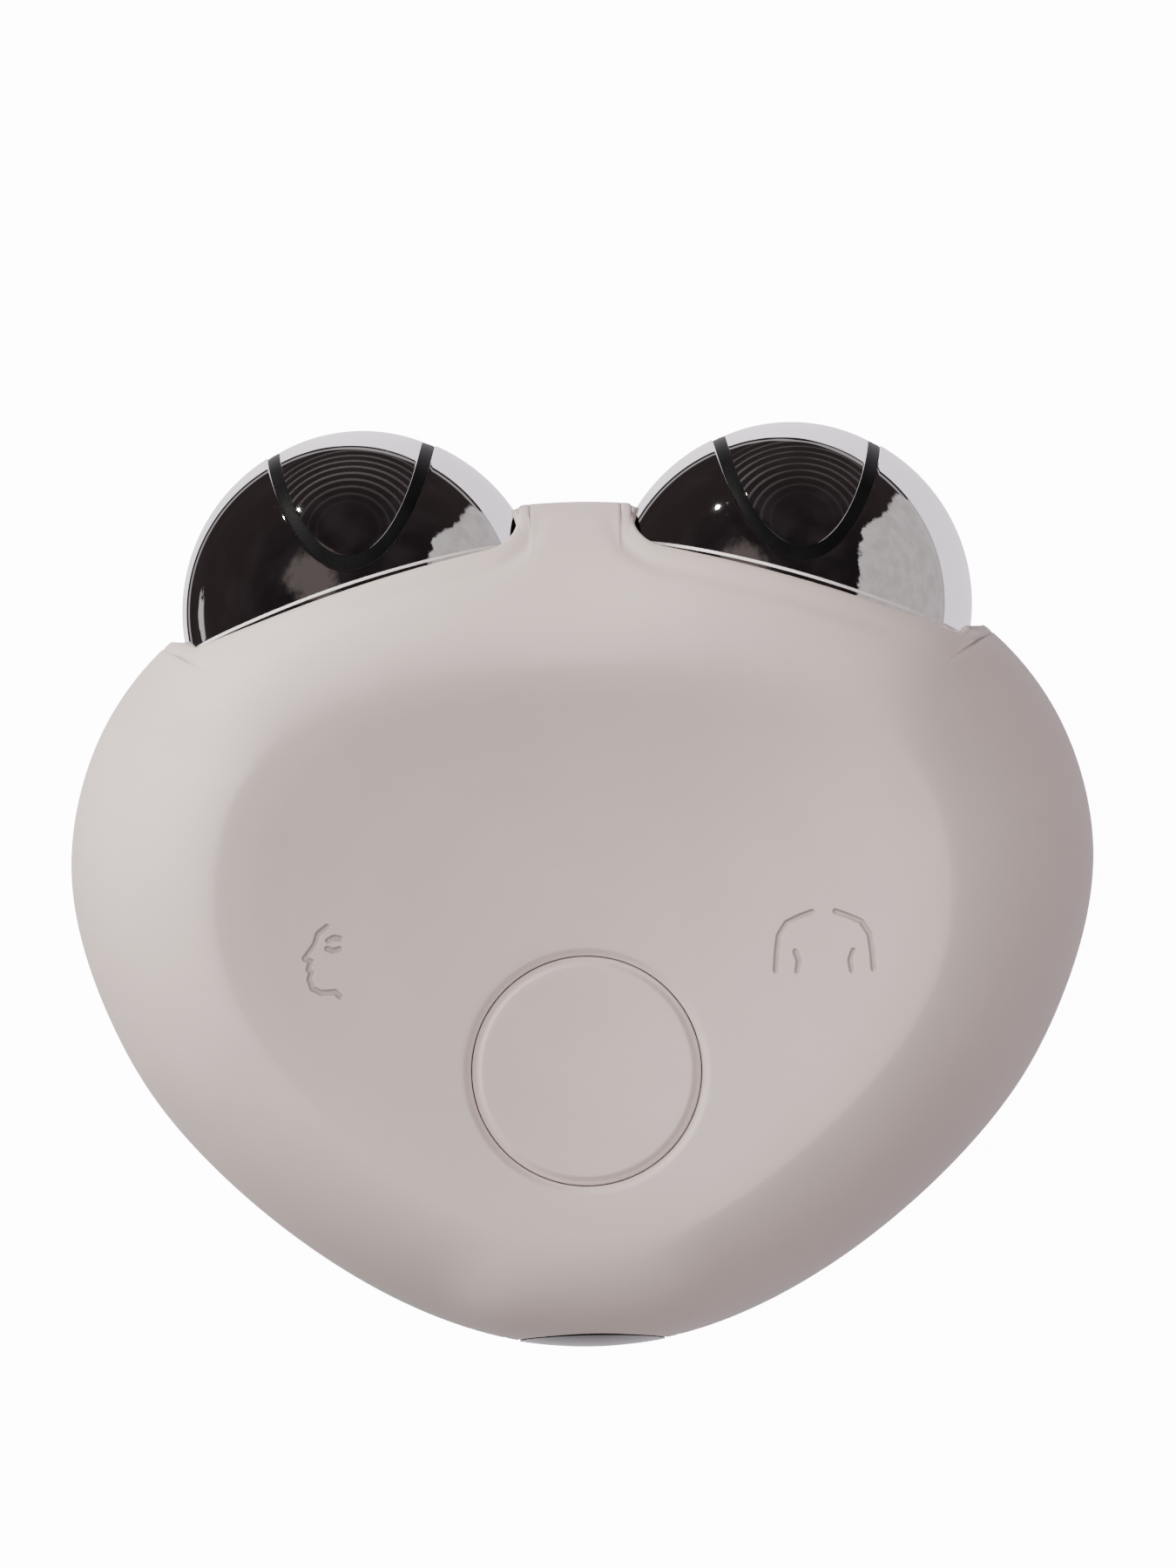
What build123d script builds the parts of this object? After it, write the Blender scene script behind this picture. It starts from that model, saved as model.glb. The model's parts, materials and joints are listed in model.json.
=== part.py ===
from build123d import *
import os
from math import cos, pi, radians, sin, sqrt

# Facial toning device lying on its back: the thumb dish and the button look up (+Z), the two
# electrode balls point along +Y, the charging end along -Y. Millimetres. The working frame has
# its Y zero on the widest line of the housing; SHIFT moves it to the middle of the whole thing.

# ---- housing form ----------------------------------------------------------------------------
HALF_WIDTH = 45.0          # widest half width
WALL = 2.2                 # housing wall
MID_Z, MID_SLOPE = 17.0, 0.08        # height and lean of the widest line
CREST_Z, CREST_SLOPE = 35.4, 0.1635  # height and lean of the dish's crest
REAR_Z, REAR_SLOPE = 1.34, 0.13      # height and lean of the palm side's flat
REAR_CENTRE_Y = -5.0
REAR_FULLNESS = 0.72       # below 1 the palm side is flatter than an ellipse
DISH_CENTRE_Y, DISH_DEPTH = -3.6, 3.4
# steps of the dish: way from the crest to the middle, share of the depth
DISH_STEPS = [(0, 0), (.08, .06), (.2, .25), (.4, .56), (.65, .85), (.93, 1)]
DISH_EXTRA = 0.3           # the wall is this much thicker under the dish
PART_DROP = 1.0            # cover joint below the widest line
# right half of the outline and of the dish's crest, from the top middle round to the bottom
OUTLINE = [(0, 30.9), (12, 29.7), (23, 26.6), (31.5, 22.4), (37.2, 18.0), (41.4, 12.6),
           (44.2, 5.6), (HALF_WIDTH, -1), (44.1, -7.4), (42.0, -13.6), (38.6, -20.2),
           (33.5, -26.6), (27.0, -32.6), (19.0, -38.1), (9.8, -42.1), (0, -43.5)]
CREST = [(0, 16.6), (10, 17.0), (20, 18.6), (28, 19.4), (33.2, 16.4), (35.9, 11),
         (36.6, 4.5), (36.1, -2), (34.6, -8.5), (31.9, -14.6), (28, -20.4),
         (22.9, -25.8), (16.6, -30.6), (9.8, -34.2), (4.9, -35.6), (0, -36.1)]

# ---- electrode balls -------------------------------------------------------------------------
BALL_R, BALL_X, BALL_Y = 16.0, 18.8, 21.65
BALL_Z = BALL_R            # the balls rest on the table
BALL_SPLAY = 19.1          # degrees from +Y to the way a ball points
BALL_LEAN = 2.5            # degrees that it points away from the button side
LIP_OUT = 0.8              # socket mouth beyond the ball's centre
BALL_FIT = 0.3             # ball to socket
MOUTH_SIDE, MOUTH_REACH = 15.2, 26.0    # the cut spares the web and runs out past the flank
MOUTH_CORNER, MOUTH_ROUND = 9.0, 2.5
CUP_WALL = 1.5
PLATING = 1.2              # thickness of the chromed shell and tongue
TONGUE_HALF, TONGUE_LONG, TONGUE_CENTRE = 7.62, 18.0, 22.0   # seam's middle line, an ellipse
TONGUE_OUT = 0.85          # its shift away from the middle of the device
SEAM = 1.1                 # width of the black insulator
CORE_WALL = 2.4
CORE_CUT = 13.0            # inner end of the ball, behind its centre
STEM_R, STEM_END, STEM_GAP = 4.5, 20.0, 2.0
STUD_R = 1.2

# ---- button and switch -----------------------------------------------------------------------
BUTTON_Y, BUTTON_R, BUTTON_GAP = -18.7, 9.7, 0.3
CAP_ROUND, HOLE_ROUND = 0.6, 0.7     # soft edges either side of the groove
TRAVEL = 0.5
LEDGE_Z = 27.0             # underside of the housing round the button hole
FLANGE_OUT, FLANGE_T, FLANGE_GAP = 1.5, 1.1, 0.35
WELL_WALL, WELL_END = 1.4, 21.6
SWITCH_BOARD_Z, SWITCH_BOARD_T = 19.4, 1.2
SWITCH_H, SWITCH_SIDE, PLUNGER_R, PLUNGER_FIT = 2.6, 6.0, 1.75, 0.3
PLUNGER_OUT = 0.7          # plunger proud of the switch at rest
SEAT = 0.05                # pieces that touch but move apart

# ---- inside ----------------------------------------------------------------------------------
BOARD_Z, BOARD_T, BOARD_SCALE, BOARD_END_Y = 13.6, 1.2, 0.74, -1.8
BATTERY = (36.0, 23.0, 6.2)
BATTERY_Y, BATTERY_Z = -15.9, 6.2
ICON_X, ICON_Y = 21.5, -8.4
GUIDE_R, GUIDE_TOP_R, GUIDE_FIT = 2.0, 4.2, 0.2
COVER_SCREWS = [(29.6, -5.6), (18.2, -31.0)]
BOARD_POSTS = [(24.5, -11.5), (8.5, -30.8)]
SWITCH_POST_X = 15.2
FRAME_POST_X, FRAME_POST_Y, FRAME_Z, FRAME_T = 23.0, 0.8, 8.0, 1.8
SCREW_R, HEAD_R, HEAD_T, BOSS_R = 1.0, 1.9, 1.3, 3.0
BOARD_SCREW, BALL_SCREW, COVER_SCREW = 5.0, 8.0, 12.0   # lengths under the head
POST_R = 2.2
SCREW_FIT = 0.15
PLATE_HALF_X, PLATE_Z, PLATE_HALF_Z, PLATE_DEPTH = 6.4, 15.0, 7.5, 3.8
PLATE_LIP, PLATE_FRAME = 1.2, 2.4
CONTACT_X, CONTACT_R, TAIL_R = 3.0, 1.5, 0.6

SHIFT = Pos(0, -(BALL_Y + BALL_R + OUTLINE[-1][1]) / 2, 0)


def mid_z(y):
    return MID_Z + MID_SLOPE * y


def crest_z(y):
    return CREST_Z + CREST_SLOPE * y


def rear_z(y):
    return REAR_Z + REAR_SLOPE * (y - REAR_CENTRE_Y)


def whole_loop(half):
    return half + [(-x, y) for x, y in half[-2:0:-1]]


def inset(loop, depth):
    """The loop drawn in by about depth all round."""
    centre = (loop[0][1] + loop[len(loop) // 2][1]) / 2
    reach_x = max(x for x, y in loop)
    reach_y = loop[0][1] - centre
    return [(x * (1 - depth / reach_x), centre + (y - centre) * (1 - depth / reach_y))
            for x, y in loop]


def closed_wire(points):
    return Wire([Edge.make_spline([Vector(*p) for p in points], periodic=True)])


def rear_ring(angle, depth):
    """A ring of the palm side: 0 degrees is the widest line, 90 the middle of the back."""
    full, fall = cos(radians(angle)) ** REAR_FULLNESS, sin(radians(angle))
    ring = []
    for x, y in inset(whole_loop(OUTLINE), depth):
        px, py = x * full, REAR_CENTRE_Y + (y - REAR_CENTRE_Y) * full
        ring.append((px, py, mid_z(py) + (rear_z(py) + depth - mid_z(py)) * fall))
    return ring


def flank_ring(angle, depth):
    """A ring of the flank, an elliptic quarter turn from the widest line to the crest."""
    way, rise = 1 - cos(radians(angle)), sin(radians(angle))
    ring = []
    for (ox, oy), (cx, cy) in zip(inset(whole_loop(OUTLINE), depth),
                                  inset(whole_loop(CREST), depth)):
        x, y = ox + (cx - ox) * way, oy + (cy - oy) * way
        ring.append((x, y, mid_z(y) + (crest_z(y) - depth - mid_z(y)) * rise))
    return ring


def dish_ring(way, fall):
    """A ring of the thumb dish: way 0 is the crest and 1 the lowest place."""
    ring = []
    for x, y in whole_loop(CREST):
        px, py = x * (1 - way), DISH_CENTRE_Y + (y - DISH_CENTRE_Y) * (1 - way)
        ring.append((px, py, crest_z(py) - DISH_DEPTH * fall))
    return ring


def loft_rings(rings):
    return Solid.make_loft([closed_wire(ring) for ring in rings])


dish_rings = [dish_ring(*step) for step in DISH_STEPS]
dish_bowl = loft_rings(dish_rings)
wide_bowl = loft_rings([dish_ring(-.1, -.3)] + dish_rings)    # runs out above the crest


def front_form(depth):
    flank = loft_rings([flank_ring(a, depth) for a in (0, 20, 40, 60, 78, 90)])
    below = loft_rings([rear_ring(a, depth) for a in (38, 18, 0)])
    if depth:
        return flank + below - Pos(0, 0, -depth - DISH_EXTRA) * wide_bowl
    return flank + below - dish_bowl


def rear_form(depth):
    return loft_rings([rear_ring(a, depth) for a in (87, 75, 58, 38, 18, 0)])


# the cover joint is a plane that leans with the widest line
joint_plane = Plane(origin=(0, 0, MID_Z - PART_DROP), x_dir=(1, 0, 0),
                    z_dir=Vector(0, -MID_SLOPE, 1).normalized())
above = joint_plane * Pos(0, 0, 40) * Box(200, 200, 80)
below_joint = joint_plane * Pos(0, 0, -40) * Box(200, 200, 80)


def joint_height(y):
    return mid_z(y) - PART_DROP


def disc(x, y, low, high, radius):
    """An upright cylinder between two heights."""
    return Pos(x, y, (low + high) / 2) * Cylinder(radius, high - low)


def both(x, y, make):
    """make(x, y) on the right and its twin on the left."""
    return make(x, y) + make(-x, y)


# ---- ball frames of reference ----------------------------------------------------------------
# x runs across the ball (away from the middle), y along -Z, z the way the ball points
ball_out = Vector(sin(radians(BALL_SPLAY)), cos(radians(BALL_SPLAY)), 0) \
    * cos(radians(BALL_LEAN)) + Vector(0, 0, -sin(radians(BALL_LEAN)))
ball_at = Plane(origin=(BALL_X, BALL_Y, BALL_Z),
                x_dir=(cos(radians(BALL_SPLAY)), -sin(radians(BALL_SPLAY)), 0), z_dir=ball_out)


def round_ball(shape):
    """Moves a shape made round the ball's own axis to the right ball."""
    return ball_at * shape


def axial(low, high, radius):
    """A cylinder on the ball's axis, heights measured from its centre."""
    return Pos(0, 0, (low + high) / 2) * Cylinder(radius, high - low)


def pair(right):
    return right, mirror(right, about=Plane.YZ)


socket_r = BALL_R + BALL_FIT
# a flat mouth across the corner, which leaves the web between the two balls standing
mouth = extrude(RectangleRounded(MOUTH_REACH + MOUTH_SIDE, 2 * MOUTH_REACH, MOUTH_CORNER), 40)
mouth = Pos((MOUTH_REACH - MOUTH_SIDE) / 2, 0, LIP_OUT) \
    * fillet(mouth.edges().group_by(Axis.Z)[0], MOUTH_ROUND)
socket_tool = round_ball(Sphere(socket_r) + mouth)
cup_block = round_ball(Sphere(socket_r + CUP_WALL) - axial(LIP_OUT, 40, 30))
stem_hole = round_ball(axial(-30, -10, STEM_R + STEM_GAP))

# ---- covers ----------------------------------------------------------------------------------
front_full, front_inner = front_form(0), front_form(WALL)
rear_full, rear_inner = rear_form(0), rear_form(WALL)
button_hole = Pos(0, BUTTON_Y, 40) * Cylinder(BUTTON_R + BUTTON_GAP, 40)
holed = front_full - button_hole
holed = fillet(holed.edges().filter_by(lambda e: e.center().Z > 28 and abs(
    e.length - 2 * pi * (BUTTON_R + BUTTON_GAP)) < 3), HOLE_ROUND)
front_solid, rear_solid = holed & above, rear_full & below_joint
# ribs and bosses root in the middle of the wall
front_root, rear_root = front_form(WALL / 2) & above, rear_form(WALL / 2) & below_joint

well_in = BUTTON_R + FLANGE_OUT + BUTTON_GAP
screw_spots = [(sx * x, y) for x, y in COVER_SCREWS for sx in (1, -1)]
board_spots = [(sx * x, y) for x, y in BOARD_POSTS for sx in (1, -1)]
frame_spots = [(sx * FRAME_POST_X, FRAME_POST_Y) for sx in (1, -1)]
switch_spots = [(sx * SWITCH_POST_X, BUTTON_Y) for sx in (1, -1)]
icon_spots = [(sx * ICON_X, ICON_Y) for sx in (1, -1)]
board_top = BOARD_Z + BOARD_T
switch_top = SWITCH_BOARD_Z + SWITCH_BOARD_T
guide_low, guide_high = board_top + 1.25, LEDGE_Z + 3.6


def screw_seat(y):
    """Height that a cover screw's head rests at."""
    return joint_height(y) - 5.6


def group(shapes):
    """All of the shapes as one."""
    return shapes[0].fuse(*shapes[1:]) if len(shapes) > 1 else shapes[0]


# the charging plate fills a rounded window in the bottom end, half in each cover
def plate_block(grow, inner_y):
    """The window's outline, grown by some, from outside in to a depth."""
    outline = SlotOverall(2 * (PLATE_HALF_Z + grow), 2 * (PLATE_HALF_X + grow), rotation=90)
    return Plane.XZ * Pos(0, PLATE_Z, -inner_y) * extrude(outline, 20)


plate_seat = OUTLINE[-1][1] + PLATE_DEPTH
cups = group(pair(cup_block))
ribs = [disc(x, y, joint_height(y), 45, BOSS_R) for x, y in screw_spots]
ribs += [disc(x, y, switch_top, 45, POST_R + 0.4) for x, y in switch_spots]
ribs += [disc(x, y, guide_high - 3.2, 45, GUIDE_TOP_R + 1.4) for x, y in icon_spots]
ribs += [disc(0, BUTTON_Y, WELL_END, 45, well_in + WELL_WALL), plate_block(PLATE_FRAME, plate_seat),
         cups]
front_cover = (front_solid - front_inner) + (group(ribs) & front_root)

seats = [disc(x, y, -5, joint_height(y), BOSS_R) for x, y in screw_spots]
seats += [disc(x, y, -5, BOARD_Z, POST_R) for x, y in board_spots]
seats += [disc(x, y, -5, FRAME_Z, POST_R + 0.4) for x, y in frame_spots]
seats += [plate_block(PLATE_FRAME, plate_seat), cups]
rear_cover = (rear_solid - rear_inner) + (group(seats) & rear_root)

# soft seal in a groove along the joint
seal_loops = [closed_wire([(x, y, joint_height(y)) for x, y in inset(whole_loop(OUTLINE), d)])
              for d in (0.75, 1.55)]
seal_ring = extrude(Face(seal_loops[0]) - Face(seal_loops[1]), amount=0.5,
                    dir=joint_plane.z_dir, both=True)

plate_lip = plate_block(PLATE_LIP, plate_seat + 1) - plate_block(PLATE_LIP + 1, plate_seat)
openings = [*pair(socket_tool), *pair(stem_hole), plate_block(0, plate_seat + 1), plate_lip]
front_cuts = [disc(x, y, joint_height(y) - 1, joint_height(y) + 8, SCREW_R) for x, y in screw_spots]
front_cuts += [disc(x, y, switch_top - 1, switch_top + 4.2, SCREW_R) for x, y in switch_spots]
front_cuts += [disc(x, y, 10, guide_high, GUIDE_TOP_R + GUIDE_FIT) for x, y in icon_spots]
front_cuts += [disc(0, BUTTON_Y, 10, LEDGE_Z, well_in), disc(0, BUTTON_Y, 10, 60, BUTTON_R + BUTTON_GAP)]
rear_cuts = [disc(x, y, -5, joint_height(y) + 1, SCREW_R + SCREW_FIT) for x, y in screw_spots]
rear_cuts += [disc(x, y, -5, screw_seat(y), HEAD_R + SCREW_FIT) for x, y in screw_spots]
rear_cuts += [disc(x, y, BOARD_Z - 4.2, BOARD_Z + 1, SCREW_R) for x, y in board_spots]
rear_cuts += [disc(x, y, FRAME_Z - 3.4, FRAME_Z + 1, SCREW_R) for x, y in frame_spots]
front_cover = front_cover.cut(*openings, *front_cuts, seal_ring)
rear_cover = rear_cover.cut(*openings, *rear_cuts, seal_ring)
seam_seal = seal_ring.cut(*openings)

# the plate follows the housing's end, its lip behind the window holds it
charge_plate = (plate_block(0, plate_seat) & (front_full + rear_full)) + plate_lip
contact_z = board_top + TAIL_R


def along_y(x, z, near, far, radius):
    """A rod that lies along Y."""
    return Pos(x, (near + far) / 2, z) * Rot(90, 0, 0) * Cylinder(radius, abs(far - near))


contact_holes = group([along_y(sx * CONTACT_X, contact_z, -60, -30, CONTACT_R) for sx in (1, -1)])
contact_heads = contact_holes & charge_plate
charge_plate -= contact_holes
charge_contacts = contact_heads + group(
    [along_y(sx * CONTACT_X, contact_z, plate_seat, -31.6, TAIL_R) for sx in (1, -1)])

# ---- button, switch and its board ------------------------------------------------------------
flange_top = LEDGE_Z - FLANGE_GAP
plunger_top = switch_top + SWITCH_H + PLUNGER_OUT
button_cap = front_full & disc(0, BUTTON_Y, flange_top - FLANGE_T, 60, BUTTON_R)
button_cap = fillet(button_cap.edges().sort_by(Axis.Z)[-1], CAP_ROUND)
button_cap += disc(0, BUTTON_Y, flange_top - FLANGE_T, flange_top, BUTTON_R + FLANGE_OUT)
button_cap -= disc(0, BUTTON_Y, 10, flange_top, BUTTON_R - 1.6)
button_cap += disc(0, BUTTON_Y, plunger_top + SEAT, flange_top + 0.5, 2.2)
for turn in range(4):
    button_cap += Pos(0, BUTTON_Y, flange_top) * Rot(0, 0, 45 + 90 * turn) \
        * Pos(4.8, 0, -0.55) * Box(7.2, 0.9, 1.1)

switch_body = Pos(0, BUTTON_Y, switch_top + SWITCH_H / 2) \
    * Box(SWITCH_SIDE, SWITCH_SIDE, SWITCH_H)
switch_body = chamfer(switch_body.edges().filter_by(Axis.Z), 0.5)
switch_body -= disc(0, BUTTON_Y, switch_top + 0.6, 40, PLUNGER_R + PLUNGER_FIT)
switch_plunger = disc(0, BUTTON_Y, switch_top + 0.6 + 2 * TRAVEL, plunger_top, PLUNGER_R)
switch_plunger = chamfer(switch_plunger.edges().sort_by(Axis.Z)[-1], 0.25)

switch_board = extrude(Pos(0, BUTTON_Y, SWITCH_BOARD_Z)
                       * RectangleRounded(2 * SWITCH_POST_X + 6.4, 12, 3), SWITCH_BOARD_T)
for x, y in switch_spots:
    switch_board -= disc(x, y, 0, 40, SCREW_R + SCREW_FIT)

# ---- main board and what it carries ----------------------------------------------------------
board_outline = [(x * BOARD_SCALE, REAR_CENTRE_Y + (y - REAR_CENTRE_Y) * BOARD_SCALE, BOARD_Z)
                 for x, y in whole_loop(OUTLINE)]
main_board = extrude(Face(closed_wire(board_outline)), amount=BOARD_T, dir=(0, 0, 1))
main_board &= Pos(0, BOARD_END_Y - 50, BOARD_Z) * Box(200, 100, 20)
for x, y in screw_spots:
    main_board -= disc(x, y, 0, 40, BOSS_R + 0.5)
for x, y in board_spots:
    main_board -= disc(x, y, 0, 40, SCREW_R + SCREW_FIT)


def chip(x, y, length, width, height):
    """A moulded package with chamfered top edges."""
    block = Pos(x, y, board_top + height / 2) * Box(length, width, height)
    return chamfer(block.edges().group_by(Axis.Z)[-1], min(height, 1) * 0.25)


controller_chip = chip(1.5, -13.2, 7, 7, 1.0)
power_chips = chip(0, -27.2, 5, 4.4, 1.3) + chip(-6.6, -21.6, 4, 3.4, 1.1) \
    + chip(13.0, -8.0, 5, 4, 1.2)
core_x, core_y = -7.0, -5.4
core_e = Pos(core_x, core_y, board_top + 3.4) * Box(9.6, 5.4, 5.6)
window = Pos(core_x, core_y, board_top + 3.4) * Box(6.2, 8, 2.6)
bobbin = Pos(core_x, core_y, board_top + 0.3) * Box(10.4, 6.2, 0.6) \
    + Pos(core_x, core_y, board_top + 3.4) * Box(6.0, 6.8, 2.4)
step_up_transformer = (core_e - window) + bobbin
boost_inductor = disc(14.5, -25.2, board_top, board_top + 0.9, 3.1) \
    + disc(14.5, -25.2, board_top, board_top + 3.0, 2.2) \
    + disc(14.5, -25.2, board_top + 2.4, board_top + 3.4, 3.1)
filter_capacitors = disc(-24.4, -17.6, board_top, board_top + 6.4, 2.5) \
    + disc(-14.5, -24.8, board_top, board_top + 4.0, 2.0)
filter_capacitors = chamfer(filter_capacitors.edges().group_by(Axis.Z)[-1], 0.35)
mode_leds = both(ICON_X, ICON_Y, lambda x, y: chip(x, y, 2.8, 2.8, 1.2))
battery_plug = chip(19.2, -15.8, 6.0, 4.6, 3.2)
flex_x, flex_y = 7.6, BUTTON_Y + 2.2
flex_line = Polyline((flex_x, SWITCH_BOARD_Z), (flex_x, SWITCH_BOARD_Z - 0.7),
                     (flex_x + 2.6, SWITCH_BOARD_Z - 1.8), (flex_x - 2.6, board_top + 1.4),
                     (flex_x, board_top + 0.5), (flex_x, board_top))
switch_flex = Plane.XZ * Pos(0, 0, -flex_y) * extrude(trace(flex_line, 0.28), 2.5, both=True)

# ---- battery ---------------------------------------------------------------------------------
length, width, height = BATTERY
battery_box = Pos(0, BATTERY_Y, BATTERY_Z + height / 2) * Box(length, width, height)
battery_cell = fillet(battery_box.edges().filter_by(Axis.Y), 2.4)
battery_pad = (Pos(0, BATTERY_Y, BATTERY_Z - 4) * Box(length - 6, width - 5, 8)) & rear_inner
lead_z = BATTERY_Z + height * 0.6


def round_wire(points, ends, radius):
    """A soft lead through the points, with the way it runs at either end."""
    line = Spline(*points, tangents=ends)
    return sweep(Plane(line @ 0, z_dir=line % 0) * Circle(radius), path=line)


battery_leads = group([round_wire(
    [(length / 2, y, lead_z), (26, y, lead_z + 0.6), (32.8, y, BOARD_Z + 0.6),
     (27, y, board_top + 3.2), (22.2, y, board_top + 1.8)],
    [(1, 0, 0), (-1, 0, 0)], 0.55) for y in (-16.6, -14.9)])

# ---- balls -----------------------------------------------------------------------------------


def tongue_prism(grow):
    """The tongue's outline, grown by some, driven through the ball along Z."""
    return Pos(BALL_X + TONGUE_OUT, BALL_Y + TONGUE_CENTRE, BALL_Z - 30) * extrude(
        Ellipse(TONGUE_HALF + grow, TONGUE_LONG + grow), 60)


core_r = BALL_R - PLATING
rim_r = sqrt(core_r ** 2 - CORE_CUT ** 2)          # core's rim at its cut inner end
kept_end = axial(-CORE_CUT, 40, 30)
skin = round_ball((Sphere(BALL_R) - Sphere(core_r)) & kept_end)
stud = round_ball(axial(core_r - 4.2, core_r + PLATING / 2, STUD_R))
core = (Sphere(core_r) - Sphere(core_r - CORE_WALL)) & kept_end
core += axial(-STEM_END, -CORE_CUT, STEM_R)
core -= axial(-STEM_END - 1, 0, SCREW_R)
wire_x = (rim_r + STEM_R) / 2
core -= Pos(wire_x, 0, -CORE_CUT) * Cylinder(0.75, 4)
ball_core = round_ball(core) - stud
electrode = skin - tongue_prism(SEAM / 2)
insulator = (skin & tongue_prism(SEAM / 2)) - tongue_prism(-SEAM / 2)
tongue = (skin & tongue_prism(-SEAM / 2)) + stud


def at_ball(x, y, z):
    """A place given round the ball, in the working frame."""
    return ball_at.from_local_coords(Vector(x, y, z))


wire_ends = [(0, 0, 1), ball_out]
rim_wire = round_wire([(15.4, -4.2, board_top), at_ball(5.4, -2.3, -21.5),
                       at_ball(5.2, -2.5, -17.2), at_ball(5.3, -2.6, -15),
                       at_ball(6.1, -2.75, -14), at_ball(7, -2.85, -CORE_CUT)],
                      wire_ends, 0.42)
stud_wire = round_wire([(18.8, -4.2, board_top), at_ball(wire_x + 0.1, 0, -20.5),
                        at_ball(wire_x, 0, -15), at_ball(wire_x, 0, -10.5),
                        at_ball(4.4, 0, -4), at_ball(2.2, 0, 2), at_ball(0.5, 0, 6.6),
                        at_ball(0, 0, core_r - 4.2)], wire_ends, 0.42)
electrode_leads = group([rim_wire, stud_wire])

# ---- frame that carries both balls -----------------------------------------------------------
tab = round_ball(Pos(0, 2.3, -STEM_END - 1) * Box(2 * STEM_R, 2 * STEM_R + 6.6, 2)
                 - axial(-30, -10, SCREW_R + SCREW_FIT))
frame_plate = extrude(Pos(0, FRAME_POST_Y, FRAME_Z)
                      * RectangleRounded(2 * FRAME_POST_X + 8, 7.6, 3), FRAME_T)
ball_frame = (frame_plate + group(pair(tab))).cut(
    *[disc(x, y, 0, 40, SCREW_R + SCREW_FIT) for x, y in frame_spots])


# ---- fasteners -------------------------------------------------------------------------------
def screw(under_head):
    """A pan-head screw with a cross recess, its head's seat at the origin, pointing down."""
    head = Pos(0, 0, HEAD_T / 2) * Cylinder(HEAD_R, HEAD_T)
    head = fillet(head.edges().sort_by(Axis.Z)[-1], 0.5)
    for turn in (0, 90):
        head -= Pos(0, 0, HEAD_T) * Rot(0, 0, turn) * Box(2.0, 0.5, 1.0)
    return head + Pos(0, 0, -under_head / 2) * Cylinder(SCREW_R, under_head)


board_screw, ball_screw, cover_screw = screw(BOARD_SCREW), screw(BALL_SCREW), screw(COVER_SCREW)
board_screws = [Pos(x, y, board_top) * board_screw for x, y in board_spots]
board_screws += [Pos(x, y, FRAME_Z + FRAME_T) * board_screw for x, y in frame_spots]
board_screws += [Pos(x, y, SWITCH_BOARD_Z) * Rot(180, 0, 0) * board_screw for x, y in switch_spots]
ball_screws = pair(round_ball(Pos(0, 0, -STEM_END - 2) * Rot(180, 0, 0) * ball_screw))
cover_screws = [Pos(x, y, screw_seat(y)) * Rot(180, 0, 0) * cover_screw for x, y in screw_spots]
screw_plugs = [rear_full & disc(x, y, -5, screw_seat(y) - HEAD_T, HEAD_R + SCREW_FIT)
               for x, y in screw_spots]


def light_guide(x, y):
    """A clear stepped rod with a wide head under the housing's thin window."""
    return disc(x, y, guide_low, guide_high, GUIDE_R) \
        + disc(x, y, guide_high - 1.2, guide_high, GUIDE_TOP_R)


NODES = {
    "front_cover": front_cover, "rear_cover": rear_cover, "seam_seal": seam_seal,
    "button_cap": button_cap, "switch_plunger": switch_plunger, "switch_body": switch_body,
    "switch_board": switch_board, "switch_flex": switch_flex, "main_board": main_board,
    "controller_chip": controller_chip, "power_chips": power_chips,
    "step_up_transformer": step_up_transformer, "boost_inductor": boost_inductor,
    "filter_capacitors": filter_capacitors, "mode_leds": mode_leds,
    "left_light_guide": light_guide(-ICON_X, ICON_Y),
    "right_light_guide": light_guide(ICON_X, ICON_Y),
    "battery_cell": battery_cell, "battery_pad": battery_pad, "battery_plug": battery_plug,
    "battery_leads": battery_leads, "ball_frame": ball_frame, "charge_plate": charge_plate,
    "charge_contacts": charge_contacts, "board_screws": group(board_screws),
    "ball_screws": group(ball_screws), "cover_screws": group(cover_screws),
    "screw_plugs": group(screw_plugs),
}
for name, right in (("ball_core", ball_core), ("electrode_shell", electrode),
                    ("electrode_tongue", tongue), ("insulator", insulator),
                    ("electrode_leads", electrode_leads)):
    NODES["right_" + name], NODES["left_" + name] = pair(right)

os.makedirs("parts", exist_ok=True)
for name, shape in NODES.items():
    export_step(SHIFT * shape, "parts/" + name + ".step")
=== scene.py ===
import json
from math import cos, pi, radians, sin, sqrt, tau

import bpy
import numpy as np
from mathutils import Matrix, Vector


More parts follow.
